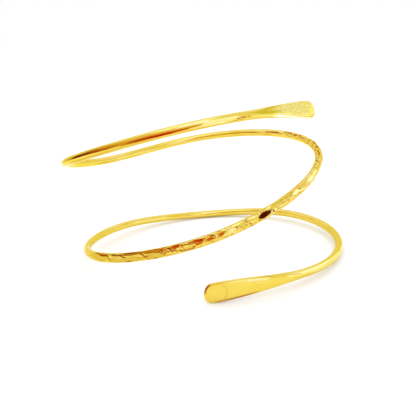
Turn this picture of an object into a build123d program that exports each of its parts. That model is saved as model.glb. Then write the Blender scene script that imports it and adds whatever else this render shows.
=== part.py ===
from build123d import *
import math
import os

# Sizes in millimetres, angles in degrees.

# The coil: one length of wire wound a little more than twice round the arm
coil_radius = 33.5
coil_height = 43.0

# The wire, round but for the little that winding it flattens it
wire_width = 2.12
wire_thickness = 2.08
section_step = 8.0

# The hammered stretch across the front, measured along the wire from the upper tip
hammered_start = 207.0
hammered_length = 86.0
hammered_width = 2.4
hammered_thickness = 1.75
hammered_sections = 20
blend_share = 0.12

# Hammer marks: shallow flats struck one after another on the outer side,
# each turned round the wire and tilted along it by its own amount
flat_pitch = 2.6
flat_depth = 0.11
flat_spread = 62.0
flat_tilt = 2.5
spread_step = 137.0
tilt_step = 97.0
mark_length = 9.0
mark_width = 6.0
mark_height = 3.0

# The two ends, hammered out into thin paddles with rounded tips
paddle_thickness = 0.8
upper_paddle_width = 4.45
upper_paddle_length = 26.0
upper_tip_length = 4.5
upper_tip_skew = -0.1
lower_paddle_width = 4.8
lower_paddle_length = 26.0
lower_tip_length = 2.4
lower_tip_skew = 0.8
tip_cut = 0.1
paddle_sections = 14

# Shares of a paddle's length, from the tip, over which it keeps its full width and its full thinness
wide_share = 0.10
thin_share = 0.30

# How the coil leans once it stands by itself
lean_back = -3.4
lean_left = -9.3
coil_spin = 2.1

# Centre line of the wire from the upper tip to the lower one:
# turn clockwise from the right-hand side, height as a share of coil_height
# above the lowest point, distance from the axis as a share of coil_radius
route_rows = [
    (24.5, 0.875, 1.045),
    (45.0, 0.935, 1.030),
    (90.0, 0.995, 1.000),
    (135.0, 0.955, 0.995),
    (180.0, 0.875, 0.985),
    (225.0, 0.775, 0.995),
    (270.0, 0.755, 1.005),
    (315.0, 0.700, 1.000),
    (360.0, 0.610, 0.990),
    (405.0, 0.500, 0.995),
    (450.0, 0.400, 0.995),
    (495.0, 0.360, 1.005),
    (540.0, 0.335, 1.005),
    (585.0, 0.285, 1.000),
    (630.0, 0.170, 0.995),
    (675.0, 0.095, 1.000),
    (720.0, 0.010, 1.015),
    (755.0, 0.005, 1.000),
    (787.5, 0.070, 1.005),
    (818.0, 0.105, 1.005),
]


def between(start, end, share):
    """A value part of the way from start to end."""
    return start + (end - start) * share


def evenly(start, end):
    """Places between two others, about one section step apart."""
    count = math.ceil((end - start) / section_step)
    return [between(start, end, number / count) for number in range(1, count)]


def route_point(turn, height, distance):
    """A point of the centre line about the coil's own axis."""
    radius = coil_radius * distance
    angle = math.radians(turn)
    return (radius * math.cos(angle), -radius * math.sin(angle), coil_height * height)


def ease(share):
    """A smooth rise from 0 to 1 as the share does, level at both ends."""
    held = min(max(share, 0.0), 1.0)
    return held * held * (3 - 2 * held)


def paddle_stations(length, full_width, tip_length, skew):
    """Stations from a tip back to the round wire, closest where the tip rounds off.

    The tip is half an ellipse cut off just short of its end, and leans by the skew to one side.
    """
    stations = []
    for number in range(paddle_sections):
        share = (number / paddle_sections) ** 2
        place = length * share
        widened = 1 - ease((share - wide_share) / (1 - wide_share))
        thinned = 1 - ease((share - thin_share) / (1 - thin_share))
        reach = min((place + tip_cut) / (tip_length + tip_cut), 1.0)
        rounded = math.sqrt(1 - (1 - reach) ** 2)
        width = between(wire_width, full_width, widened) * rounded
        thickness = between(wire_thickness, paddle_thickness, thinned)
        stations.append((place, width, thickness, -skew * (1 - rounded)))
    return stations


def round_stations(start, end):
    """Stations along round wire, both ends included."""
    return [(place, wire_width, wire_thickness, 0.0) for place in [start, *evenly(start, end), end]]


def hammered_stations():
    """Stations along the hammered stretch, easing from round wire to the flattened section and back."""
    stations = []
    for number in range(hammered_sections + 1):
        share = number / hammered_sections
        flattened = ease(min(share, 1 - share) / blend_share)
        width = between(wire_width, hammered_width, flattened)
        thickness = between(wire_thickness, hammered_thickness, flattened)
        stations.append((hammered_start + hammered_length * share, width, thickness, 0.0))
    return stations


def section_plane(distance):
    """Plane across the wire: X points away from the coil's axis, Y along it, Z onwards."""
    centre = wire.position_at(distance, PositionMode.LENGTH)
    onwards = wire.tangent_at(distance, PositionMode.LENGTH)
    return Plane(origin=centre, x_dir=coil_plane.z_dir.cross(onwards), z_dir=onwards)


def section_outline(width, thickness, shift):
    """Four arcs: a circle for round wire, a crowned strip with rounded edges where it is flatter."""
    half_thickness = thickness / 2
    corner_x = half_thickness * math.cos(math.radians(45))
    corner_y = width / 2 - half_thickness + corner_x
    outer_low, outer_high = (corner_x, shift - corner_y), (corner_x, shift + corner_y)
    inner_low, inner_high = (-corner_x, shift - corner_y), (-corner_x, shift + corner_y)
    ThreePointArc(outer_low, (half_thickness, shift), outer_high)
    ThreePointArc(outer_high, (0, shift + width / 2), inner_high)
    ThreePointArc(inner_high, (-half_thickness, shift), inner_low)
    ThreePointArc(inner_low, (0, shift - width / 2), outer_low)


def sections_at(stations):
    """A sketch of the metal's section at each station."""
    sections = []
    for place, width, thickness, shift in stations:
        with BuildSketch(section_plane(place)) as section:
            with BuildLine():
                section_outline(width, thickness, shift)
            make_face()
        sections.append(section.sketch)
    return sections


def hammer_marks():
    """Planes of the hammer marks, each turned round the wire, its Z pointing out of the metal."""
    count = math.floor(hammered_length / flat_pitch)
    planes = []
    for number in range(1, count):
        distance = hammered_start + hammered_length * number / count
        roll = flat_spread * math.sin(math.radians(spread_step * number))
        tilt = flat_tilt * math.sin(math.radians(tilt_step * number))
        reach = hammered_thickness / 2
        reach += (hammered_width - hammered_thickness) / 2 * abs(math.sin(math.radians(roll)))
        outward = section_plane(distance).location * Rotation(0, 0, roll) * Rotation(0, 90, 0)
        struck = outward * Location((0, 0, reach - flat_depth)) * Rotation(0, tilt, 0)
        planes.append(Plane(struck))
    return planes


coil_plane = Plane.XY.rotated((lean_back, lean_left, coil_spin))

with BuildLine(coil_plane) as route:
    Spline(*[route_point(turn, height, distance) for turn, height, distance in route_rows])

wire = route.edge()
hammered_end = hammered_start + hammered_length
lower_paddle_start = wire.length - lower_paddle_length

upper_stations = paddle_stations(
    upper_paddle_length, upper_paddle_width, upper_tip_length, upper_tip_skew
)
upper_stations += round_stations(upper_paddle_length, hammered_start)

lower_stations = round_stations(hammered_end, lower_paddle_start)
lower_paddle = paddle_stations(
    lower_paddle_length, lower_paddle_width, lower_tip_length, lower_tip_skew
)
for place, width, thickness, shift in reversed(lower_paddle):
    lower_stations.append((wire.length - place, width, thickness, shift))

with BuildPart() as coil_band:
    loft(sections_at(hammered_stations()))
    with Locations(*[mark.location for mark in hammer_marks()]):
        Box(
            mark_length,
            mark_width,
            mark_height,
            align=(Align.CENTER, Align.CENTER, Align.MIN),
            mode=Mode.SUBTRACT,
        )
    loft(sections_at(upper_stations))
    loft(sections_at(lower_stations))

box = coil_band.part.bounding_box()
coil_band.part = coil_band.part.moved(Location((-box.center().X, -box.center().Y, -box.min.Z)))
coil_band.part.label = "coil_band"

os.makedirs("parts", exist_ok=True)
export_step(coil_band.part, "parts/coil_band.step")
print("wire length", round(wire.length, 1), "volume", round(coil_band.part.volume, 1))
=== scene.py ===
"""A spiral arm cuff: one length of polished gold wire, hammered across the front, with paddle ends."""
import math
import bpy
import numpy as np
from mathutils import Matrix, Vector


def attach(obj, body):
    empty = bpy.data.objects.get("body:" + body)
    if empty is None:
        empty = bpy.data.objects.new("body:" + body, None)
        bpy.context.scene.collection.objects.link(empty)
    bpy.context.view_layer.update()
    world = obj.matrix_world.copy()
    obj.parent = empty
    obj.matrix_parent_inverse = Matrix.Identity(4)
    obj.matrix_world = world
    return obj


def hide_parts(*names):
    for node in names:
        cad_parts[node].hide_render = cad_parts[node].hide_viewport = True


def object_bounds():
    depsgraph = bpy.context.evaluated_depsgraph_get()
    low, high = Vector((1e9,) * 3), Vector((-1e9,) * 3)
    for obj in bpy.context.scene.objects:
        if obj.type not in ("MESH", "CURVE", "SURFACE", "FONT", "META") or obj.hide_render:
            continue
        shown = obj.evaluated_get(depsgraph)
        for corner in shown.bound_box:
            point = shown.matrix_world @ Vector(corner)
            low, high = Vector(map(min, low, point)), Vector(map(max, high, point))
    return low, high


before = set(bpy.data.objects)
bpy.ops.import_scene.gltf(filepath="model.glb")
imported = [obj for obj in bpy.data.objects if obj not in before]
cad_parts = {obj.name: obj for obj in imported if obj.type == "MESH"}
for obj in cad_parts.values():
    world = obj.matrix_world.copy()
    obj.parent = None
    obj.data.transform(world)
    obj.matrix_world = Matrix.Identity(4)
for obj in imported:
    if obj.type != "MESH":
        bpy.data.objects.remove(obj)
cad_low, cad_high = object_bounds()

# Sizes of the cuff in millimetres and degrees, the same as the solid's: the coil and its wire
MM = 0.001
coil_radius = 33.5
coil_height = 43.0
wire_width = 2.12
wire_thickness = 2.08

# The hammered stretch across the front, measured along the wire from the upper tip, and the
# share of it over which it flattens at each end
hammered_start = 207.0
hammered_length = 86.0
hammered_width = 2.4
hammered_thickness = 1.75
blend_share = 0.12

# The paddles with their rounded tips, and how far past the wire's end the rounding closes
paddle_thickness = 0.8
upper_paddle_width = 4.45
upper_paddle_length = 26.0
upper_tip_length = 4.5
upper_tip_skew = -0.1
lower_paddle_width = 4.8
lower_paddle_length = 26.0
lower_tip_length = 2.4
lower_tip_skew = 0.8
tip_cut = 0.1

# Shares of a paddle's length, from the tip, over which it keeps its full width and its full thinness
wide_share = 0.10
thin_share = 0.30

# How the coil leans once it stands by itself
lean_back = -3.4
lean_left = -9.3
coil_spin = 2.1

# Centre line of the wire from the upper tip to the lower one:
# turn clockwise from the right-hand side, height as a share of coil_height
# above the lowest point, distance from the axis as a share of coil_radius
route_rows = [
    (24.5, 0.875, 1.045),
    (45.0, 0.935, 1.030),
    (90.0, 0.995, 1.000),
    (135.0, 0.955, 0.995),
    (180.0, 0.875, 0.985),
    (225.0, 0.775, 0.995),
    (270.0, 0.755, 1.005),
    (315.0, 0.700, 1.000),
    (360.0, 0.610, 0.990),
    (405.0, 0.500, 0.995),
    (450.0, 0.400, 0.995),
    (495.0, 0.360, 1.005),
    (540.0, 0.335, 1.005),
    (585.0, 0.285, 1.000),
    (630.0, 0.170, 0.995),
    (675.0, 0.095, 1.000),
    (720.0, 0.010, 1.015),
    (755.0, 0.005, 1.000),
    (787.5, 0.070, 1.005),
    (818.0, 0.105, 1.005),
]

# Points sampled on each span of the centre line
span_points = 120

# The mesh: points round the wire, crowded towards the side that faces out and up,
# and the step between rings where the wire is worked and where it is plain
ring_points = 64
crowding = 0.45
crowded_side = 18.0
worked_step = 0.125
paddle_step = 0.2
plain_step = 1.5

# Where the close rings end: past the upper paddle's neck, and before and after the hammered
# stretch; and the rings that round off a tip, over this share of the paddle's length
neck_end = 29.0
marks_before = 36.0
marks_after = 2.0
tip_rings = 24
tip_share = 0.1

# How square the sections are; 2 is round
round_squareness = 2.0
upper_squareness = 4.5
lower_squareness = 7.0
hammered_squareness = 2.3

# Keeps the length of a step round a section above zero
tiny_step = 1e-9

# Flats of the hammered strand: place along the wire, turn round the wire from facing
# outwards (up is positive), tilt along the wire, depth, half length. The last is the long
# facet on the upper paddle's neck
flat_rows = [
    (288.5, -6.0, 0.0, 0.06, 2.5),
    (285.0, -14.0, 1.0, 0.09, 2.4),
    (284.0, 40.0, -1.0, 0.08, 2.6),
    (281.4, 2.0, -2.0, 0.12, 2.3),
    (280.6, 60.0, 0.0, 0.09, 2.2),
    (275.8, -4.0, 2.0, 0.13, 2.4),
    (275.6, 60.0, 1.0, 0.10, 2.4),
    (270.3, -6.0, -2.0, 0.13, 2.6),
    (270.4, 50.0, -1.0, 0.12, 2.8),
    (265.3, -12.0, 2.0, 0.12, 2.3),
    (265.2, 37.0, 1.0, 0.12, 2.4),
    (262.0, 29.0, -2.0, 0.18, 1.1),
    (260.0, -18.0, -3.0, 0.11, 1.5),
    (259.2, 28.0, 3.0, 0.15, 1.0),
    (258.0, 6.0, 0.0, 0.13, 1.2),
    (256.4, 5.0, 2.0, 0.17, 1.7),
    (256.2, 58.0, 0.0, 0.13, 1.5),
    (253.0, 57.0, 1.0, 0.12, 1.6),
    (253.5, 24.0, -1.0, 0.18, 1.45),
    (252.6, -22.0, 3.0, 0.11, 1.4),
    (251.0, 15.0, 1.0, 0.17, 1.3),
    (249.8, 56.0, -1.0, 0.11, 1.3),
    (249.0, -20.0, 0.0, 0.10, 1.6),
    (248.4, 17.0, -3.0, 0.16, 1.3),
    (247.0, 55.0, 0.0, 0.12, 1.5),
    (246.2, -1.0, 4.0, 0.17, 1.2),
    (244.9, -16.0, 2.0, 0.13, 1.4),
    (244.6, 46.0, 1.0, 0.12, 1.6),
    (243.2, 10.0, 3.0, 0.12, 1.0),
    (241.4, -24.0, -2.0, 0.12, 1.5),
    (241.0, 34.0, 2.0, 0.15, 1.3),
    (237.5, 1.0, 0.0, 0.17, 1.55),
    (236.8, 50.0, 1.0, 0.11, 1.7),
    (236.0, -34.0, 0.0, 0.11, 1.9),
    (19.0, 20.0, 2.7, 0.15, 4.2),
]

# Creases and nicks between the flats: places along the wire and turns round it where each
# starts and ends, half width, depth, and how much shade is painted in it
crease_rows = [
    (284.8, 66.0, 281.6, 52.0, 0.25, 0.05, 0.75),
    (281.6, 52.0, 279.0, 36.0, 0.30, 0.06, 0.90),
    (279.2, 54.0, 278.0, -12.0, 0.21, 0.08, 0.85),
    (276.8, 50.0, 274.0, 33.0, 0.22, 0.05, 0.60),
    (273.8, 34.0, 272.3, -18.0, 0.22, 0.08, 0.85),
    (271.9, -16.0, 271.3, -18.0, 0.25, 0.06, 0.80),
    (267.9, 38.0, 267.0, -2.0, 0.22, 0.08, 0.75),
    (267.0, -2.0, 266.0, -13.0, 0.20, 0.06, 0.70),
    (264.8, -22.0, 264.0, -23.0, 0.21, 0.06, 0.75),
    (264.6, 42.0, 263.2, 26.0, 0.20, 0.05, 0.55),
    (263.1, 26.0, 262.6, -4.0, 0.19, 0.07, 0.60),
    (262.4, 46.0, 261.4, -30.0, 0.18, 0.06, 0.45),
    (260.4, 26.0, 260.0, -4.0, 0.21, 0.07, 0.90),
    (258.3, 34.0, 258.1, 0.0, 0.20, 0.07, 0.75),
    (257.9, -18.0, 255.2, -28.0, 0.22, 0.06, 0.70),
    (256.0, 48.0, 254.8, -12.0, 0.19, 0.07, 0.70),
    (252.3, 42.0, 252.6, -16.0, 0.16, 0.04, 0.00),
    (250.8, 42.0, 249.9, 8.0, 0.19, 0.06, 0.75),
    (246.9, 30.0, 246.8, -24.0, 0.18, 0.05, 0.00),
    (244.6, 16.0, 244.4, -12.0, 0.20, 0.06, 0.65),
    (242.0, 40.0, 242.3, 4.0, 0.19, 0.06, 0.60),
    (241.4, -22.0, 240.9, -32.0, 0.25, 0.06, 0.80),
    (239.2, -12.0, 238.3, -18.0, 0.19, 0.05, 0.40),
    (238.8, 40.0, 238.8, 2.0, 0.16, 0.05, 0.25),
    (235.2, -2.0, 235.1, -6.0, 0.20, 0.06, 0.60),
    (234.4, 41.0, 231.3, 39.0, 0.14, 0.04, 0.40),
    (233.9, 6.0, 231.3, 5.0, 0.14, 0.04, 0.45),
    (233.8, -3.0, 233.5, -25.0, 0.18, 0.05, 0.60),
    (230.4, 33.0, 230.3, -3.0, 0.20, 0.06, 0.70),
    (229.1, 8.0, 226.4, 5.0, 0.18, 0.05, 0.60),
    (226.4, -2.0, 225.5, 18.0, 0.20, 0.06, 0.75),
    (223.8, 0.0, 221.1, 1.0, 0.20, 0.05, 0.60),
    (217.2, -10.0, 215.0, 20.0, 0.20, 0.05, 0.60),
    (213.4, 96.0, 213.6, 59.0, 0.20, 0.05, 0.60),
    (210.5, 98.0, 211.4, 62.0, 0.25, 0.06, 0.75),
    (207.9, 109.0, 209.2, 84.0, 0.20, 0.05, 0.55),
    (207.0, 71.0, 204.3, 84.0, 0.28, 0.05, 0.70),
    (204.3, 84.0, 202.1, 97.0, 0.24, 0.05, 0.55),
    (201.2, 86.0, 199.9, 100.0, 0.28, 0.06, 0.90),
    (198.6, 84.0, 195.5, 93.0, 0.28, 0.05, 0.65),
    (195.5, 93.0, 193.3, 103.0, 0.24, 0.04, 0.50),
    (189.8, 126.0, 188.9, 122.0, 0.24, 0.05, 0.80),
    (188.0, 120.0, 187.1, 120.0, 0.28, 0.05, 0.70),
    (185.8, 131.0, 184.5, 131.0, 0.30, 0.06, 0.90),
    (183.1, 123.0, 181.4, 120.0, 0.30, 0.05, 0.75),
    (181.4, 120.0, 179.6, 124.0, 0.28, 0.05, 0.65),
    (178.7, 156.0, 177.0, 151.0, 0.15, 0.04, 0.60),
    (177.0, 151.0, 174.3, 150.0, 0.25, 0.05, 0.95),
    (174.3, 150.0, 172.1, 153.0, 0.24, 0.04, 0.70),
    (446.6, 34.0, 444.2, 33.0, 0.14, 0.02, 0.45),
    (27.9, -13.0, 27.0, -10.0, 0.15, 0.03, 0.75),
    (26.7, -11.0, 25.9, -9.0, 0.15, 0.03, 0.80),
    (25.4, -10.0, 24.7, -8.0, 0.14, 0.03, 0.60),
]
crease_points = 9

# The fine line inside the strand's upper edge: where it starts and ends along the wire and round
# it, half width, depth, how much shade is painted in it, and the length it is pressed in at a time
edge_line = (269.5, 66.0, 238.8, 61.0, 0.13, 0.02, 0.45)
line_piece = 2.8

# The rest of the strand, right of the charted flats: staggered rows of shallow cells, each with
# its turn round the wire, its start as a share of the pitch, its tilt, and where it runs
cell_pitch = 3.3
cell_depth = 0.13
cell_half_length = 1.7
cell_rows = [
    (-30.0, 0.0, 2.0, 203.0, 233.5),
    (14.0, 0.45, -3.0, 196.0, 233.5),
    (56.0, 0.2, 2.0, 190.0, 233.5),
    (100.0, 0.6, -2.0, 184.0, 218.0),
    (146.0, 0.3, 2.0, 182.0, 208.0),
]

# How far a cell's turn sways from its row's, and the step of that sway from cell to cell
cell_sway = 7.0
sway_step = 2.4

# Radius of the hollow that the hammer leaves across a flat, how far the flat reaches in half
# lengths, and the least cut that counts; how much shade is painted along the line round a flat,
# and round a cell, where the charted flats haven't started
hollow_radius = 4.6
flat_reach = 1.5
least_cut = 1e-4
painted_outline_shade = 0.55
painted_cell_outline_shade = 0.3
charted_start = 233.5

# Creases and rims fade out at this many half widths
line_fade = 1.5

# Dimples that planish the paddles: how many on each face, radius, depth, and the share of
# the paddle's length that they cover
dimple_seed = 7
upper_dimples = (150, 0.75, 0.018)
lower_dimples = (26, 1.1, 0.010)
planished_share = 0.75

# The round mark near the lower tip: distance from the tip, radius, half width, depth; how much
# shade is painted in it, and how far from the paddle's edges it fades in
ring_mark = (3.2, 2.15, 0.45, 0.02)
painted_ring_shade = 0.18
ring_margin = 1.2

# Painted shade on the rims of the lower paddle, standing in for the dark reflections there: how
# wide, how much along the lower edge and where (from the tip), and how much round the tip and
# from which angle to which (0 is straight on, up is positive)
rim_width = 0.40
painted_edge_shade = 0.75
edge_span = (2.0, 13.0)
painted_tip_shade = 0.95
tip_span = (12.0, 80.0)

# Camera, fitted to the photo in the frame's own millimetres and degrees
camera_place = Vector((0.73, -171.84, 62.90)) * MM
camera_elevation = 16.30
camera_roll = -4.07
camera_lens = 56.0
camera_sensor = 36.0
camera_clip = (0.01, 20.0)

# Gold: its own tones, linear, where it is polished; where it is planished, a grain whose paler
# tone is partly a painted highlight; its tint at grazing angles; and the painted shade for the
# creases, nicks, fine lines, flat outlines, ring mark and rims, with its tint at grazing angles
gold_deep = (0.79, 0.575, 0.071)
gold_light = (0.845, 0.65, 0.113)
grain_and_highlight_deep = (0.80, 0.65, 0.15)
grain_and_highlight_light = (0.95, 0.83, 0.30)
gold_edge = (0.96, 0.90, 0.52)
painted_shade_color = (0.34, 0.032, 0.002)
painted_shade_edge = (0.72, 0.27, 0.03)

# The noise that mixes the deep and the light tone: its scale and detail, and the span of its
# values from one to the other. The first also sets how rough the polish is
patch_scale = 120.0
patch_detail = 4.0
patch_span = (0.3, 0.7)
polish_range = (0.05, 0.10)
grain_scale = 2100.0
grain_detail = 3.0
grain_span = (0.35, 0.65)

# How far down the upper paddle the planished grain and its painted highlight go, and the length
# over which they fade
grain_and_highlight_full = 16.5
grain_and_highlight_fade = 2.5

# The faint lines that drawing the wire leaves, much longer than wide
line_stretch = 12.0
line_scale = 1.6
line_detail = 2.0
line_depth = 0.03

# The studio: a wide pale floor in a white tent, soft light from above, a softbox, and cards
# that only reflections show
floor_radius = 3.0
floor_corners = 64
floor_color = (0.92, 0.92, 0.92)
floor_roughness = 0.9
tent_color = (1.0, 1.0, 1.0)
tent_strength = 1.0
fill_strength = 0.95
fill_spread = 120.0
softbox_place = (-50.0, -60.0, 290.0)
softbox_radius = 110.0
softbox_corners = 48
softbox_color = (0.42, 0.52, 1.0)
softbox_strength = 3.0
card_distance = 62.0
card_columns = 60

# The warm strip: azimuth, heights of its lower and upper edge there, and its colour
strip_rows = [
    (-114.0, 20.0, 46.0, (0.96, 0.88, 0.600)),
    (-98.0, 22.0, 46.0, (0.88, 0.70, 0.280)),
    (-92.0, 24.0, 45.0, (0.45, 0.15, 0.020)),
    (-88.0, 25.0, 58.0, (0.10, 0.008, 0.002)),
    (-82.0, 26.0, 62.0, (0.11, 0.010, 0.002)),
    (-72.0, 28.0, 70.0, (0.25, 0.032, 0.002)),
    (-60.0, 27.0, 72.0, (0.50, 0.130, 0.005)),
    (-50.0, 25.0, 80.0, (0.62, 0.250, 0.015)),
    (-41.0, 24.0, 84.0, (0.78, 0.480, 0.100)),
    (-31.0, 24.0, 66.0, (0.60, 0.100, 0.006)),
    (-19.0, 24.0, 56.0, (0.55, 0.030, 0.002)),
    (-8.0, 24.0, 52.0, (0.60, 0.040, 0.003)),
    (3.0, 26.0, 56.0, (0.80, 0.220, 0.012)),
    (8.0, 28.0, 56.0, (0.96, 0.760, 0.320)),
]

# How deep the strip's colour is from its lower edge to its upper one, 0 being white, and the
# same for the sheet on the floor below it, from its inner edge to its outer one
strip_depths = [(0.00, 1.0), (0.30, 0.95), (0.42, 0.65), (0.56, 0.31), (0.70, 0.24), (1.00, 0.15)]
sheet_depths = [(0.00, 0.6), (0.15, 1.0), (1.00, 1.0)]

# The sheet on the floor below the strip: azimuth, inner and outer radius
floor_strip_rows = [
    (-44.0, 80.0, 114.0),
    (-29.0, 72.0, 114.0),
    (-18.0, 66.0, 114.0),
    (-8.0, 61.0, 114.0),
    (5.0, 78.0, 114.0),
]

# An amber sheet on the floor at the left: azimuth, inner and outer radius
amber_rows = [(-105.0, 44.0, 70.0), (-14.0, 44.0, 60.0)]
amber_color = (0.95, 0.86, 0.66)
floor_gap = 0.3

# A pale amber veil above the strip: azimuth, heights of its lower and upper edge
veil_rows = [
    (-118.0, 46.0, 70.0),
    (-90.0, 57.0, 80.0),
    (-72.0, 70.0, 94.0),
    (-60.0, 72.0, 100.0),
    (-41.0, 84.0, 104.0),
    (-36.0, 76.0, 100.0),
]
veil_color = (0.93, 0.77, 0.36)

# Streaks across the strip: how many along and across it, the span of the noise that makes
# them, and how much they deepen its colour
streak_counts = (70.0, 5.0)
streak_detail = 2.0
streak_span = (0.3, 0.7)
streak_range = (0.6, 1.4)

# A glare on the floor at the right, in soft daylight: azimuth, inner and outer radius
glare_rows = [(48.0, 38.0, 47.0), (112.0, 37.0, 44.0)]
glare_strength = 2.8

# A bright patch on the floor in front: azimuth, inner and outer radius
spark_rows = [(8.0, 62.0, 82.0), (30.0, 62.0, 82.0)]
spark_strength = 6.0

# Bluish daylight, which shows white on gold, for the cards, the glare and the bright patch
daylight = (0.24, 0.26, 1.0)
soft_daylight = (0.40, 0.45, 1.0)

# Plain cards: name, distance, azimuths and heights of both ends, colour, strength
card_rows = [
    ("high_light", 62.0, (-12.0, 12.0), (60.0, 60.0), (112.0, 112.0), daylight, 6.0),
    ("front_light", 62.0, (8.0, 31.0), (30.0, 34.0), (74.0, 74.0), soft_daylight, 3.2),
    ("low_light", 85.0, (13.0, 34.0), (1.0, 1.0), (13.0, 13.0), soft_daylight, 3.2),
    ("dark_card", 45.0, (28.3, 35.6), (13.5, 13.5), (22.5, 22.5), (0.11, 0.005, 0.001), 1.0),
    ("dim_card", 62.0, (45.0, 66.0), (42.0, 42.0), (84.0, 84.0), (0.80, 0.83, 0.36), 1.0),
    ("cell_light", 62.0, (58.0, 104.0), (13.0, 12.0), (34.0, 30.0), (0.30, 0.36, 1.0), 4.8),
    ("right_light", 110.0, (50.0, 125.0), (0.5, 0.5), (17.0, 17.0), soft_daylight, 3.6),
    ("right_amber", 110.0, (88.0, 130.0), (18.0, 18.0), (30.0, 30.0), (0.92, 0.79, 0.30), 1.0),
    ("back_sky", 250.0, (95.0, 265.0), (160.0, 160.0), (520.0, 520.0), (0.98, 1.0, 1.9), 1.15),
]


def ease(share):
    """A smooth rise from 0 to 1 as the share does, level at both ends."""
    held = np.clip(share, 0.0, 1.0)
    return held * held * (3 - 2 * held)


def between(start, end, share):
    """A value part of the way from start to end."""
    return start + (end - start) * share


# The centre line
def route_points():
    """The centre line's points about the coil's own axis."""
    turn, height, distance = np.array(route_rows).T
    angle = np.radians(turn)
    radius = coil_radius * distance
    return np.column_stack((radius * np.cos(angle), -radius * np.sin(angle), coil_height * height))


def slope_at(times, points, place):
    """Slope, at one place, of the cubic through four points."""
    powers = np.vander(times - place, 4, increasing=True)
    return np.linalg.solve(powers, points)[1]


def smooth_line(points):
    """A cubic curve through the points with even bending, sampled closely."""
    steps = np.linalg.norm(np.diff(points, axis=0), axis=1)
    times = np.concatenate(([0.0], np.cumsum(steps)))
    count = len(points)
    matrix = np.eye(count)
    wanted = np.zeros((count, 3))
    wanted[0] = slope_at(times[:4], points[:4], times[0])
    wanted[-1] = slope_at(times[-4:], points[-4:], times[-1])
    for row in range(1, count - 1):
        before, after = steps[row - 1], steps[row]
        matrix[row, row - 1:row + 2] = (after, 2 * (before + after), before)
        rise_before = (points[row] - points[row - 1]) / before
        rise_after = (points[row + 1] - points[row]) / after
        wanted[row] = 3 * (after * rise_before + before * rise_after)
    slopes = np.linalg.solve(matrix, wanted)
    share = (np.arange(span_points) / span_points)[:, None]
    spans = []
    for row in range(count - 1):
        start = (2 * share**3 - 3 * share**2 + 1) * points[row]
        start_slope = (share**3 - 2 * share**2 + share) * steps[row] * slopes[row]
        end = (3 * share**2 - 2 * share**3) * points[row + 1]
        end_slope = (share**3 - share**2) * steps[row] * slopes[row + 1]
        spans.append(start + start_slope + end + end_slope)
    return np.vstack(spans + [points[-1:]])


def leaned(points):
    """Points turned as the whole coil leans."""
    turn = Matrix.Rotation(math.radians(lean_back), 3, "X")
    turn = turn @ Matrix.Rotation(math.radians(lean_left), 3, "Y")
    turn = turn @ Matrix.Rotation(math.radians(coil_spin), 3, "Z")
    return points @ np.array(turn).T


line = leaned(smooth_line(route_points()))
line_steps = np.linalg.norm(np.diff(line, axis=0), axis=1)
line_places = np.concatenate(([0.0], np.cumsum(line_steps)))
wire_length = line_places[-1]
coil_axis = leaned(np.array([[0.0, 0.0, 1.0]]))[0]


def along_wire(places):
    """Centre, direction onwards, direction outwards and direction up at places along the wire."""
    centres = np.column_stack([np.interp(places, line_places, line[:, axis]) for axis in range(3)])
    headings = np.gradient(line, line_places, axis=0)
    onwards = np.column_stack([np.interp(places, line_places, headings[:, axis]) for axis in range(3)])
    onwards /= np.linalg.norm(onwards, axis=1)[:, None]
    beyond = places - np.clip(places, 0.0, wire_length)
    centres += beyond[:, None] * onwards
    outwards = np.cross(coil_axis, onwards)
    outwards /= np.linalg.norm(outwards, axis=1)[:, None]
    return centres, onwards, outwards, np.cross(onwards, outwards)


# The wire's section at each ring
def ring_places():
    """Places of the rings: close together on the paddles and the hammered stretch."""
    tip = upper_paddle_length * (np.arange(1, tip_rings) / tip_rings) ** 2 * tip_share - tip_cut
    lower_start = wire_length - lower_paddle_length
    marks_start = hammered_start - marks_before
    marks_end = hammered_start + hammered_length + marks_after
    return np.concatenate((
        tip,
        np.arange(tip[-1] + paddle_step, neck_end, paddle_step),
        np.arange(neck_end, marks_start, plain_step),
        np.arange(marks_start, marks_end, worked_step),
        np.arange(marks_end, lower_start, plain_step),
        np.arange(lower_start, wire_length - tip[-1], paddle_step),
        wire_length - tip[::-1],
    ))


def section_sizes(places):
    """Width, thickness, squareness and sideways shift of the section at each place."""
    share = (places - hammered_start) / hammered_length
    flattened = ease(np.minimum(share, 1 - share) / blend_share)
    width = between(wire_width, hammered_width, flattened)
    thickness = between(wire_thickness, hammered_thickness, flattened)
    squareness = between(round_squareness, hammered_squareness, flattened)
    shift = np.zeros(len(places))
    ends = [
        (places, upper_paddle_length, upper_paddle_width, upper_tip_length, upper_tip_skew, upper_squareness),
        (wire_length - places, lower_paddle_length, lower_paddle_width, lower_tip_length, lower_tip_skew,
         lower_squareness),
    ]
    for from_tip, length, full_width, tip_length, skew, full_squareness in ends:
        share = from_tip / length
        widened = 1 - ease((share - wide_share) / (1 - wide_share))
        thinned = 1 - ease((share - thin_share) / (1 - thin_share))
        reach = np.clip((from_tip + tip_cut) / (tip_length + tip_cut), 0.0, 1.0)
        rounded = np.sqrt(1 - (1 - reach) ** 2)
        edge = np.clip((from_tip + tip_cut) / (paddle_thickness / 2), 0.0, 1.0)
        inside = share < 1
        width = np.where(inside, between(wire_width, full_width, widened) * rounded, width)
        thickness = np.where(inside, between(wire_thickness, paddle_thickness, thinned), thickness)
        thickness = thickness * np.where(inside, np.sqrt(1 - (1 - edge) ** 2), 1.0)
        squareness = np.where(inside, between(round_squareness, full_squareness, thinned), squareness)
        shift = np.where(inside, -skew * (1 - rounded), shift)
    return width, thickness, squareness, shift


def sections(places):
    """Outwards and upwards offsets of every point of every ring."""
    width, thickness, squareness, shift = section_sizes(places)
    even = np.linspace(0.0, 2 * math.pi, ring_points, endpoint=False)
    turn = (even - crowding * np.sin(even - math.radians(crowded_side)))[None, :]
    power = squareness[:, None]
    face = (1 - np.abs(np.sin(turn)) ** power) ** (1 / power) * np.sign(np.cos(turn))
    outward = face * thickness[:, None] / 2
    upward = np.sin(turn) * width[:, None] / 2
    return outward, upward + shift[:, None]


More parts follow.
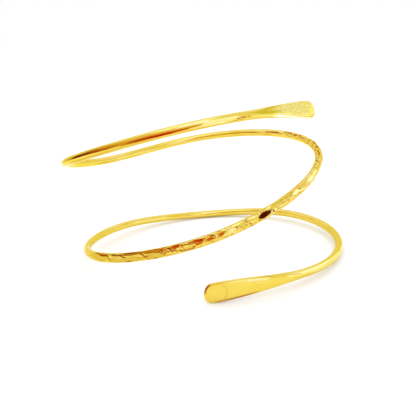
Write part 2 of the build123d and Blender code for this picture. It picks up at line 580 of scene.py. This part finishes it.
def section_normals(outward, upward):
    """Which way each point of a ring faces, in the ring's own plane."""
    out_step = np.roll(outward, -1, axis=1) - np.roll(outward, 1, axis=1)
    up_step = np.roll(upward, -1, axis=1) - np.roll(upward, 1, axis=1)
    size = np.hypot(out_step, up_step) + tiny_step
    return up_step / size, -out_step / size


def all_flats():
    """The charted flats, and the cells that go on to the right of them."""
    rows = list(flat_rows)
    for roll, start, tilt, first, last in cell_rows:
        places = np.arange(first + start * cell_pitch, last, cell_pitch)
        for number, place in enumerate(places):
            sway = math.sin(sway_step * number + roll)
            rows.append((place, roll + cell_sway * sway, tilt * sway, cell_depth, cell_half_length))
    return rows


def strike(outward, upward, places, painted_shade):
    """Cuts each flat into the rings, nearly plane and a little hollow, and paints shade along the line round
    it.
    """
    smooth_out, smooth_up = outward.copy(), upward.copy()
    owner = np.zeros(outward.shape, int)
    for number, (place, roll, tilt, depth, half_length) in enumerate(all_flats()):
        rings = np.abs(places - place) < flat_reach * half_length
        middle = np.argmin(np.abs(places - place))
        out_share, up_share = math.cos(math.radians(roll)), math.sin(math.radians(roll))
        top = smooth_out[middle] * out_share + smooth_up[middle] * up_share
        crown = np.argmax(top)
        side = smooth_up[middle, crown] * out_share - smooth_out[middle, crown] * up_share
        height = outward[rings] * out_share + upward[rings] * up_share
        across = upward[rings] * out_share - outward[rings] * up_share - side
        along = (places[rings] - place)[:, None]
        face = top[crown] - depth + along * math.tan(math.radians(tilt))
        face = face + depth * (along / half_length) ** 2 + across**2 / hollow_radius / 2
        over = np.maximum(height - face, 0.0)
        outward[rings] -= over * out_share
        upward[rings] -= over * up_share
        owner[rings] = np.where(over > least_cut, number + 1, owner[rings])
    # Painted shade along the edges of the flats and cells, standing in for the dark reflections on the ridges
    # between them
    edge = (owner != np.roll(owner, -1, axis=0)) | (owner != np.roll(owner, -1, axis=1))
    edge &= (places > neck_end)[:, None]
    painted_shade[edge] = painted_outline_shade
    wide = edge | np.roll(edge, 1, axis=0) | np.roll(edge, 1, axis=1)
    painted_shade[wide & (places < charted_start)[:, None]] = painted_cell_outline_shade


def all_creases():
    """The charted creases, and the fine upper line in short pieces."""
    start, roll1, end, roll2, half_width, depth, painted_darkness = edge_line
    pieces = math.ceil(abs(end - start) / line_piece)
    places = np.linspace(start, end, pieces + 1)
    rolls = np.linspace(roll1, roll2, pieces + 1)
    rows = list(crease_rows)
    for piece in range(pieces):
        ends = (places[piece], rolls[piece], places[piece + 1], rolls[piece + 1])
        rows.append((*ends, half_width, depth, painted_darkness))
    return rows


def surface_point(outward, upward, places, place, roll):
    """The point of the surface that faces a given way at a place along the wire."""
    ring = np.argmin(np.abs(places - place))
    height = outward[ring] * math.cos(math.radians(roll)) + upward[ring] * math.sin(math.radians(roll))
    point = np.argmax(height)
    return place, outward[ring, point], upward[ring, point]


def distance_to(points, outward, upward, places, rings):
    """Distance of every point of some rings from the nearest of a few points."""
    nearest = np.full(outward[rings].shape, np.inf)
    for place, out, up in points:
        along = (places[rings] - place)[:, None]
        gap = np.sqrt(along**2 + (outward[rings] - out) ** 2 + (upward[rings] - up) ** 2)
        nearest = np.minimum(nearest, gap)
    return nearest


def crease(outward, upward, places, painted_shade):
    """Presses the creases and nicks in, and paints shade into each."""
    out_share, up_share = section_normals(outward, upward)
    drop = np.zeros(outward.shape)
    for place1, roll1, place2, roll2, half_width, depth, painted_darkness in all_creases():
        points = []
        for share in np.linspace(0.0, 1.0, crease_points):
            place, roll = between(place1, place2, share), between(roll1, roll2, share)
            points.append(surface_point(outward, upward, places, place, roll))
        rings = np.abs(places - (place1 + place2) / 2) < abs(place1 - place2) / 2 + 2 * half_width
        gap = distance_to(points, outward, upward, places, rings)
        profile = ease(line_fade - gap / half_width)
        drop[rings] = np.maximum(drop[rings], depth * profile)
        # Painted shade in the creases and nicks, dark red like the reflections in them
        painted_shade[rings] = np.maximum(painted_shade[rings], painted_darkness * profile)
    outward -= drop * out_share
    upward -= drop * up_share


def dimple(outward, upward, places, centres, radius, depth):
    """Presses shallow round dimples in."""
    out_share, up_share = section_normals(outward, upward)
    drop = np.zeros(outward.shape)
    for centre in centres:
        rings = np.abs(places - centre[0]) < radius
        gap = distance_to([centre], outward, upward, places, rings)
        drop[rings] = np.maximum(drop[rings], depth * np.maximum(1 - (gap / radius) ** 2, 0.0))
    outward -= drop * out_share
    upward -= drop * up_share


def planish(outward, upward, places, painted_shade):
    """Dimples over both paddles, and the round mark of a hammer's face near the lower tip, with painted shade
    in the mark.
    """
    random = np.random.default_rng(dimple_seed)
    ends = [
        (0.0, upper_paddle_length, *upper_dimples),
        (wire_length, -lower_paddle_length, *lower_dimples),
    ]
    for tip, length, count, radius, depth in ends:
        centres = []
        for _ in range(2 * count):
            ring = np.argmin(np.abs(places - tip - length * planished_share * random.random()))
            point = random.integers(ring_points)
            centres.append((places[ring], outward[ring, point], upward[ring, point]))
        dimple(outward, upward, places, centres, radius, depth)

    from_tip, radius, half_width, depth = ring_mark
    place, out, up = surface_point(outward, upward, places, wire_length - from_tip, 0.0)
    rings = np.abs(places - place) < radius + 2 * half_width
    towards_tip = (places[rings] - place)[:, None]
    gap = np.hypot(towards_tip, upward[rings])
    ridge = ease(1 - np.abs(gap - radius) / half_width) * (outward[rings] > 0)
    ridge = ridge * ease((radius - towards_tip) / radius / 2)
    ridge = ridge * ease((lower_paddle_width / 2 - np.abs(upward[rings])) / ring_margin)
    outward[rings] -= depth * ridge
    # Painted shade in the ring mark, strongest on the side away from the tip
    painted_shade[rings] = np.maximum(painted_shade[rings], painted_ring_shade * ridge)


def paint_rim_shade(upward, places, painted_shade):
    """Paints shade on the rims of the lower paddle, along its lower edge and round its tip, standing in for
    the dark reflections there.
    """
    width, _, _, shift = section_sizes(places)
    from_tip = (wire_length - places)[:, None]
    level = upward - shift[:, None]
    start, end = edge_span
    along = np.clip((from_tip - start) / (end - start), 0.0, 1.0)
    edge = ease(line_fade - (width[:, None] / 2 + level) / rim_width) * np.sin(math.pi * along)

    inward = lower_tip_length - from_tip
    reach = lower_tip_length - np.hypot(inward, level)
    start, end = tip_span
    turn = (np.degrees(np.arctan2(level, inward)) - start) / (end - start)
    tip = ease(line_fade - reach / rim_width) * np.sin(math.pi * np.clip(turn, 0.0, 1.0)) * (inward > 0)
    # Painted shade on the rims
    for rim, painted_darkness in ((edge, painted_edge_shade), (tip, painted_tip_shade)):
        painted_shade[:] = np.maximum(painted_shade, painted_darkness * np.sqrt(np.maximum(rim, 0.0)))


# The mesh
def wire_vertices(places, outward, upward):
    """Every ring's points and then the middle of each end, moved into the solid's place."""
    centres, _, outwards, upwards = along_wire(places)
    points = centres[:, None, :] + outward[:, :, None] * outwards[:, None, :]
    points = points + upward[:, :, None] * upwards[:, None, :]
    ends = np.array([points[0].mean(axis=0), points[-1].mean(axis=0)])
    vertices = np.vstack((points.reshape(-1, 3), ends))
    low, high = vertices.min(axis=0), vertices.max(axis=0)
    middle = (cad_low + cad_high) / 2 / MM
    move = (middle.x - (low[0] + high[0]) / 2, middle.y - (low[1] + high[1]) / 2, cad_low.z / MM - low[2])
    return (vertices + np.array(move)) * MM


def wire_faces(places):
    """The faces between the rings and over both ends, and their corners' u along the wire and v round it."""
    faces = []
    uvs = []
    rings = len(places)
    for ring in range(rings - 1):
        u0, u1 = places[ring] * MM, places[ring + 1] * MM
        here, there = ring * ring_points, (ring + 1) * ring_points
        for point in range(ring_points):
            following = (point + 1) % ring_points
            faces.append((here + point, here + following, there + following, there + point))
            v0, v1 = point / ring_points, (point + 1) / ring_points
            uvs.extend(((u0, v0), (u0, v1), (u1, v1), (u1, v0)))
    last = (rings - 1) * ring_points
    for point in range(ring_points):
        following = (point + 1) % ring_points
        faces.append((following, point, rings * ring_points))
        faces.append((last + point, last + following, rings * ring_points + 1))
        uvs.extend([(0.0, 0.0)] * 6)
    return faces, uvs


def add_attribute(mesh, name, values):
    """Stores a number or a vector for every ring point on the mesh, with 0 at the middle of each end."""
    size = values.shape[-1] if values.ndim == 3 else 1
    kind, key = ("FLOAT_VECTOR", "vector") if size == 3 else ("FLOAT", "value")
    attribute = mesh.attributes.new(name, kind, "POINT")
    attribute.data.foreach_set(key, np.append(values.ravel(), np.zeros(2 * size)).astype(np.float32))


def coil_mesh():
    """The whole wire as one closed mesh."""
    places = ring_places()
    outward, upward = sections(places)
    smooth_out, smooth_up = outward.copy(), upward.copy()
    # How much painted shade each point gets, from the flat outlines, creases, ring mark and rims
    painted_shade = np.zeros(outward.shape)
    strike(outward, upward, places, painted_shade)
    crease(outward, upward, places, painted_shade)
    planish(outward, upward, places, painted_shade)
    paint_rim_shade(upward, places, painted_shade)

    faces, uvs = wire_faces(places)
    mesh = bpy.data.meshes.new("coil_wire")
    mesh.from_pydata(wire_vertices(places, outward, upward).tolist(), [], faces)
    layer = mesh.uv_layers.new(name="UVMap")
    layer.data.foreach_set("uv", np.array(uvs, np.float32).ravel())
    add_attribute(mesh, "painted_shade", painted_shade)
    # Where the planished grain and its painted highlight go on the upper paddle
    add_attribute(mesh, "grain_and_highlight", np.repeat(1 - ease((places - grain_and_highlight_full) / grain_and_highlight_fade), ring_points))
    drawn_places = np.repeat((places / line_stretch)[:, None], ring_points, axis=1)
    add_attribute(mesh, "drawn", np.stack((drawn_places, smooth_out, smooth_up), axis=2))
    mesh.polygons.foreach_set("use_smooth", [True] * len(mesh.polygons))
    mesh.validate()
    mesh.update()
    print("coil_wire triangles", sum(len(face) - 2 for face in faces))
    return mesh


# Materials
def new_material(name):
    """A material with the Principled shader, and its nodes and links."""
    material = bpy.data.materials.new(name)
    material.use_nodes = True
    return material, material.node_tree.nodes, material.node_tree.links


def noise_node(nodes, links, vector, scale, detail):
    """A noise texture over some coordinates."""
    noise = nodes.new("ShaderNodeTexNoise")
    noise.inputs["Scale"].default_value = scale
    noise.inputs["Detail"].default_value = detail
    links.new(vector, noise.inputs["Vector"])
    return noise


def ramp_node(nodes, stops):
    """A colour ramp with the given stops, each a position and a colour."""
    ramp = nodes.new("ShaderNodeValToRGB")
    elements = ramp.color_ramp.elements
    while len(elements) < len(stops):
        elements.new(0.5)
    for element, (position, color) in zip(elements, stops):
        element.position = position
        element.color = (*color, 1.0)
    return ramp


def range_node(nodes, source, target):
    """A node that turns one range of values into another."""
    ranged = nodes.new("ShaderNodeMapRange")
    ranged.inputs["From Min"].default_value, ranged.inputs["From Max"].default_value = source
    ranged.inputs["To Min"].default_value, ranged.inputs["To Max"].default_value = target
    return ranged


def mix_node(nodes, links, share):
    """A mix of two colours, A and B, by a share."""
    mix = nodes.new("ShaderNodeMix")
    mix.data_type = "RGBA"
    links.new(share, mix.inputs["Factor"])
    return mix


def attribute_node(nodes, name):
    """One of the mesh's own attributes."""
    attribute = nodes.new("ShaderNodeAttribute")
    attribute.attribute_name = name
    return attribute


def gold():
    """Polished yellow gold plate: grained and paler where the upper paddle is planished, the paleness partly
    a painted highlight, and painted shade in the creases, nicks, lines and rims.
    """
    material, nodes, links = new_material("gold_plate")
    shader = nodes["Principled BSDF"]
    shader.inputs["Metallic"].default_value = 1.0
    place = nodes.new("ShaderNodeTexCoord").outputs["Object"]

    patches = noise_node(nodes, links, place, patch_scale, patch_detail)
    tone = ramp_node(nodes, list(zip(patch_span, (gold_deep, gold_light))))
    links.new(patches.outputs["Fac"], tone.inputs["Fac"])
    # The planished grain, paler than the polished gold: partly real grain, partly a painted highlight
    fine = noise_node(nodes, links, place, grain_scale, grain_detail)
    grain_and_highlight_tone = ramp_node(nodes, list(zip(grain_span, (grain_and_highlight_deep, grain_and_highlight_light))))
    links.new(fine.outputs["Fac"], grain_and_highlight_tone.inputs["Fac"])
    grain_and_highlight_mix = mix_node(nodes, links, attribute_node(nodes, "grain_and_highlight").outputs["Fac"])
    links.new(tone.outputs["Color"], grain_and_highlight_mix.inputs["A"])
    links.new(grain_and_highlight_tone.outputs["Color"], grain_and_highlight_mix.inputs["B"])

    # Painted shade and its tint at grazing angles, mixed in by the mesh's painted shade attribute
    painted_shade = attribute_node(nodes, "painted_shade").outputs["Fac"]
    painted_shading = mix_node(nodes, links, painted_shade)
    links.new(grain_and_highlight_mix.outputs["Result"], painted_shading.inputs["A"])
    painted_shading.inputs["B"].default_value = (*painted_shade_color, 1.0)
    links.new(painted_shading.outputs["Result"], shader.inputs["Base Color"])
    edge = mix_node(nodes, links, painted_shade)
    edge.inputs["A"].default_value = (*gold_edge, 1.0)
    edge.inputs["B"].default_value = (*painted_shade_edge, 1.0)
    links.new(edge.outputs["Result"], shader.inputs["Specular Tint"])

    polish = range_node(nodes, (0.0, 1.0), polish_range)
    links.new(patches.outputs["Fac"], polish.inputs["Value"])
    links.new(polish.outputs["Result"], shader.inputs["Roughness"])

    drawn = attribute_node(nodes, "drawn").outputs["Vector"]
    lines = noise_node(nodes, links, drawn, line_scale, line_detail)
    bump = nodes.new("ShaderNodeBump")
    bump.inputs["Strength"].default_value = 1.0
    bump.inputs["Distance"].default_value = line_depth * MM
    links.new(lines.outputs["Fac"], bump.inputs["Height"])
    links.new(bump.outputs["Normal"], shader.inputs["Normal"])
    return material


def plain(name, color, roughness):
    """A plain matt material."""
    material, nodes, _ = new_material(name)
    shader = nodes["Principled BSDF"]
    shader.inputs["Base Color"].default_value = (*color, 1.0)
    shader.inputs["Roughness"].default_value = roughness
    return material


# The pieces
def make_coil():
    """The wire, in place of the plain solid."""
    coil = bpy.data.objects.new("coil_wire", coil_mesh())
    bpy.context.scene.collection.objects.link(coil)
    coil.data.materials.append(gold())
    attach(coil, "root")
    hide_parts("coil_band")


# The studio
def seen_only_in_reflections(thing):
    """Keeps a card or softbox out of the camera's view and off the floor."""
    thing.visible_camera = False
    thing.visible_diffuse = False
    thing.visible_shadow = False
    thing.visible_transmission = False
    thing.visible_volume_scatter = False


def glow(name):
    """A material that only gives light, with its nodes, its links and the light itself."""
    material, nodes, links = new_material(name)
    nodes.clear()
    light = nodes.new("ShaderNodeEmission")
    output = nodes.new("ShaderNodeOutputMaterial")
    links.new(light.outputs["Emission"], output.inputs["Surface"])
    return material, nodes, links, light


def even_glow(name, color, strength):
    """Light that is the same all over a card."""
    material, nodes, links, light = glow(name)
    light.inputs["Color"].default_value = (*color, 1.0)
    light.inputs["Strength"].default_value = strength
    return material


def strip_share(azimuth):
    """How far along the warm strip an azimuth is."""
    first, last = strip_rows[0][0], strip_rows[-1][0]
    return (azimuth - first) / (last - first)


def strip_glow(name, depths):
    """The warm strip's light: its colour changes along it, and fades across it as the depths say."""
    material, nodes, links, light = glow(name)
    place = nodes.new("ShaderNodeTexCoord").outputs["UV"]
    split = nodes.new("ShaderNodeSeparateXYZ")
    links.new(place, split.inputs["Vector"])
    colors = ramp_node(nodes, [(strip_share(azimuth), color) for azimuth, *_, color in strip_rows])
    links.new(split.outputs["X"], colors.inputs["Fac"])
    depth = ramp_node(nodes, [(position, (value, value, value)) for position, value in depths])
    links.new(split.outputs["Y"], depth.inputs["Fac"])

    stretched = nodes.new("ShaderNodeMapping")
    stretched.inputs["Scale"].default_value = (*streak_counts, 1.0)
    links.new(place, stretched.inputs["Vector"])
    streaks = noise_node(nodes, links, stretched.outputs["Vector"], 1.0, streak_detail)
    streaked = range_node(nodes, streak_span, streak_range)
    links.new(streaks.outputs["Fac"], streaked.inputs["Value"])
    amount = nodes.new("ShaderNodeMath")
    amount.operation = "MULTIPLY"
    links.new(depth.outputs["Color"], amount.inputs[0])
    links.new(streaked.outputs["Result"], amount.inputs[1])

    deepen = nodes.new("ShaderNodeGamma")
    links.new(colors.outputs["Color"], deepen.inputs["Color"])
    links.new(amount.outputs["Value"], deepen.inputs["Gamma"])
    links.new(deepen.outputs["Color"], light.inputs["Color"])
    return material


def curved_card(name, rows, material):
    """A card bent round the cuff, from rows of azimuth, then radius and height of each long edge.

    Azimuth 0 is towards the camera, and right is positive.
    """
    known = np.array(rows, float)
    azimuths = np.linspace(known[0, 0], known[-1, 0], card_columns + 1)
    edges = [np.interp(azimuths, known[:, 0], column) for column in known[:, 1:].T]
    vertices = []
    for azimuth, low_radius, low_height, high_radius, high_height in zip(np.radians(azimuths), *edges):
        for radius, height in ((low_radius, low_height), (high_radius, high_height)):
            vertices.append((radius * math.sin(azimuth) * MM, -radius * math.cos(azimuth) * MM, height * MM))
    faces = []
    uvs = []
    for column in range(card_columns):
        corner = 2 * column
        faces.append((corner, corner + 2, corner + 3, corner + 1))
        u0, u1 = strip_share(azimuths[column]), strip_share(azimuths[column + 1])
        uvs.extend(((u0, 0.0), (u1, 0.0), (u1, 1.0), (u0, 1.0)))
    mesh = bpy.data.meshes.new(name)
    mesh.from_pydata(vertices, [], faces)
    layer = mesh.uv_layers.new(name="UVMap")
    layer.data.foreach_set("uv", np.array(uvs, np.float32).ravel())
    mesh.materials.append(material)
    card = bpy.data.objects.new(name, mesh)
    bpy.context.scene.collection.objects.link(card)
    seen_only_in_reflections(card)


def standing(distance, rows):
    """Rows of azimuth, low and high edge as a card that stands at a distance."""
    return [(azimuth, distance, low, distance, high) for azimuth, low, high, *_ in rows]


def lying(rows):
    """Rows of azimuth, inner and outer radius as a sheet just over the floor."""
    return [(azimuth, inner, floor_gap, outer, floor_gap) for azimuth, inner, outer in rows]


def make_floor():
    """A wide pale floor under the cuff."""
    bpy.ops.mesh.primitive_circle_add(vertices=floor_corners, radius=floor_radius, fill_type="NGON")
    floor = bpy.context.active_object
    floor.name = "floor"
    floor.data.materials.append(plain("pale_floor", floor_color, floor_roughness))


def make_lights():
    """A white tent, soft light from above, a softbox, and the cards that the gold reflects."""
    world = bpy.data.worlds.new("tent")
    world.use_nodes = True
    background = world.node_tree.nodes["Background"]
    background.inputs["Color"].default_value = (*tent_color, 1.0)
    background.inputs["Strength"].default_value = tent_strength
    bpy.context.scene.world = world

    fill = bpy.data.lights.new("overhead_fill", "SUN")
    fill.energy = fill_strength
    fill.angle = math.radians(fill_spread)
    above = bpy.data.objects.new("overhead_fill", fill)
    above.visible_glossy = False
    bpy.context.scene.collection.objects.link(above)

    bpy.ops.mesh.primitive_circle_add(vertices=softbox_corners, radius=softbox_radius * MM, fill_type="NGON",
                                      location=Vector(softbox_place) * MM)
    softbox = bpy.context.active_object
    softbox.name = "softbox"
    softbox.data.materials.append(even_glow("softbox_glow", softbox_color, softbox_strength))
    seen_only_in_reflections(softbox)

    curved_card("warm_strip", standing(card_distance, strip_rows), strip_glow("strip_glow", strip_depths))
    curved_card("floor_strip", lying(floor_strip_rows), strip_glow("floor_strip_glow", sheet_depths))
    curved_card("amber_veil", standing(card_distance, veil_rows), even_glow("veil_glow", veil_color, 1.0))
    curved_card("amber_sheet", lying(amber_rows), even_glow("amber_glow", amber_color, 1.0))
    curved_card("floor_glare", lying(glare_rows), even_glow("glare_glow", soft_daylight, glare_strength))
    curved_card("floor_spark", lying(spark_rows), even_glow("spark_glow", daylight, spark_strength))
    for name, distance, azimuths, lows, highs, color, strength in card_rows:
        rows = list(zip(azimuths, lows, highs))
        curved_card(name, standing(distance, rows), even_glow(name + "_glow", color, strength))


def make_camera():
    """The camera at the photo's angle."""
    data = bpy.data.cameras.new("camera")
    data.lens = camera_lens
    data.sensor_width = camera_sensor
    data.clip_start, data.clip_end = camera_clip
    camera = bpy.data.objects.new("camera", data)
    tilt = Matrix.Rotation(math.radians(90.0 - camera_elevation), 4, "X")
    roll = Matrix.Rotation(math.radians(camera_roll), 4, "Z")
    camera.matrix_world = Matrix.Translation(camera_place) @ tilt @ roll
    bpy.context.scene.collection.objects.link(camera)
    bpy.context.scene.camera = camera


make_camera()
make_coil()
make_floor()
make_lights()
bpy.context.scene.view_settings.view_transform = "Standard"
